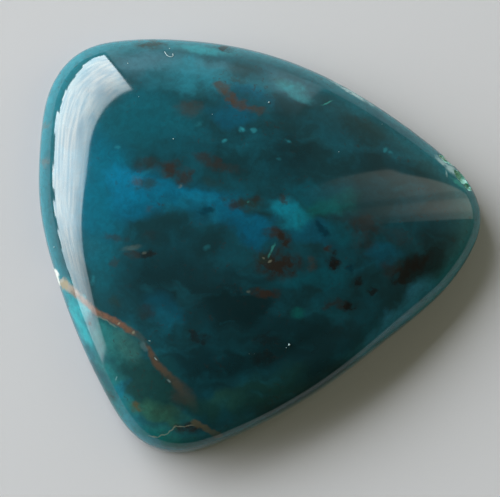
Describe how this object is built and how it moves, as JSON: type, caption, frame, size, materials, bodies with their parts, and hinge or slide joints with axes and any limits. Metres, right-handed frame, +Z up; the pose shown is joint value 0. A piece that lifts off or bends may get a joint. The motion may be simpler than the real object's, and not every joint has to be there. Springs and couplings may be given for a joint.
{
  "type": "chrysocolla cabochon",
  "caption": "Polished freeform three-cornered gemstone with a flat ground base, a narrow back bevel, a low wall and a shallow dome, lying on its base.",
  "frame": {"origin": "on the flat base, under the middle of the stone's bounding box", "axes": "+X along the stone's length, towards its point; +Y across it, towards the long straight side; +Z up out of the dome"},
  "size_m": [0.035, 0.0328, 0.0068],
  "materials": {
    "chrysocolla": "polished"
  },
  "bodies": {
    "root": {"cabochon": "chrysocolla"}
  },
  "joints": []
}
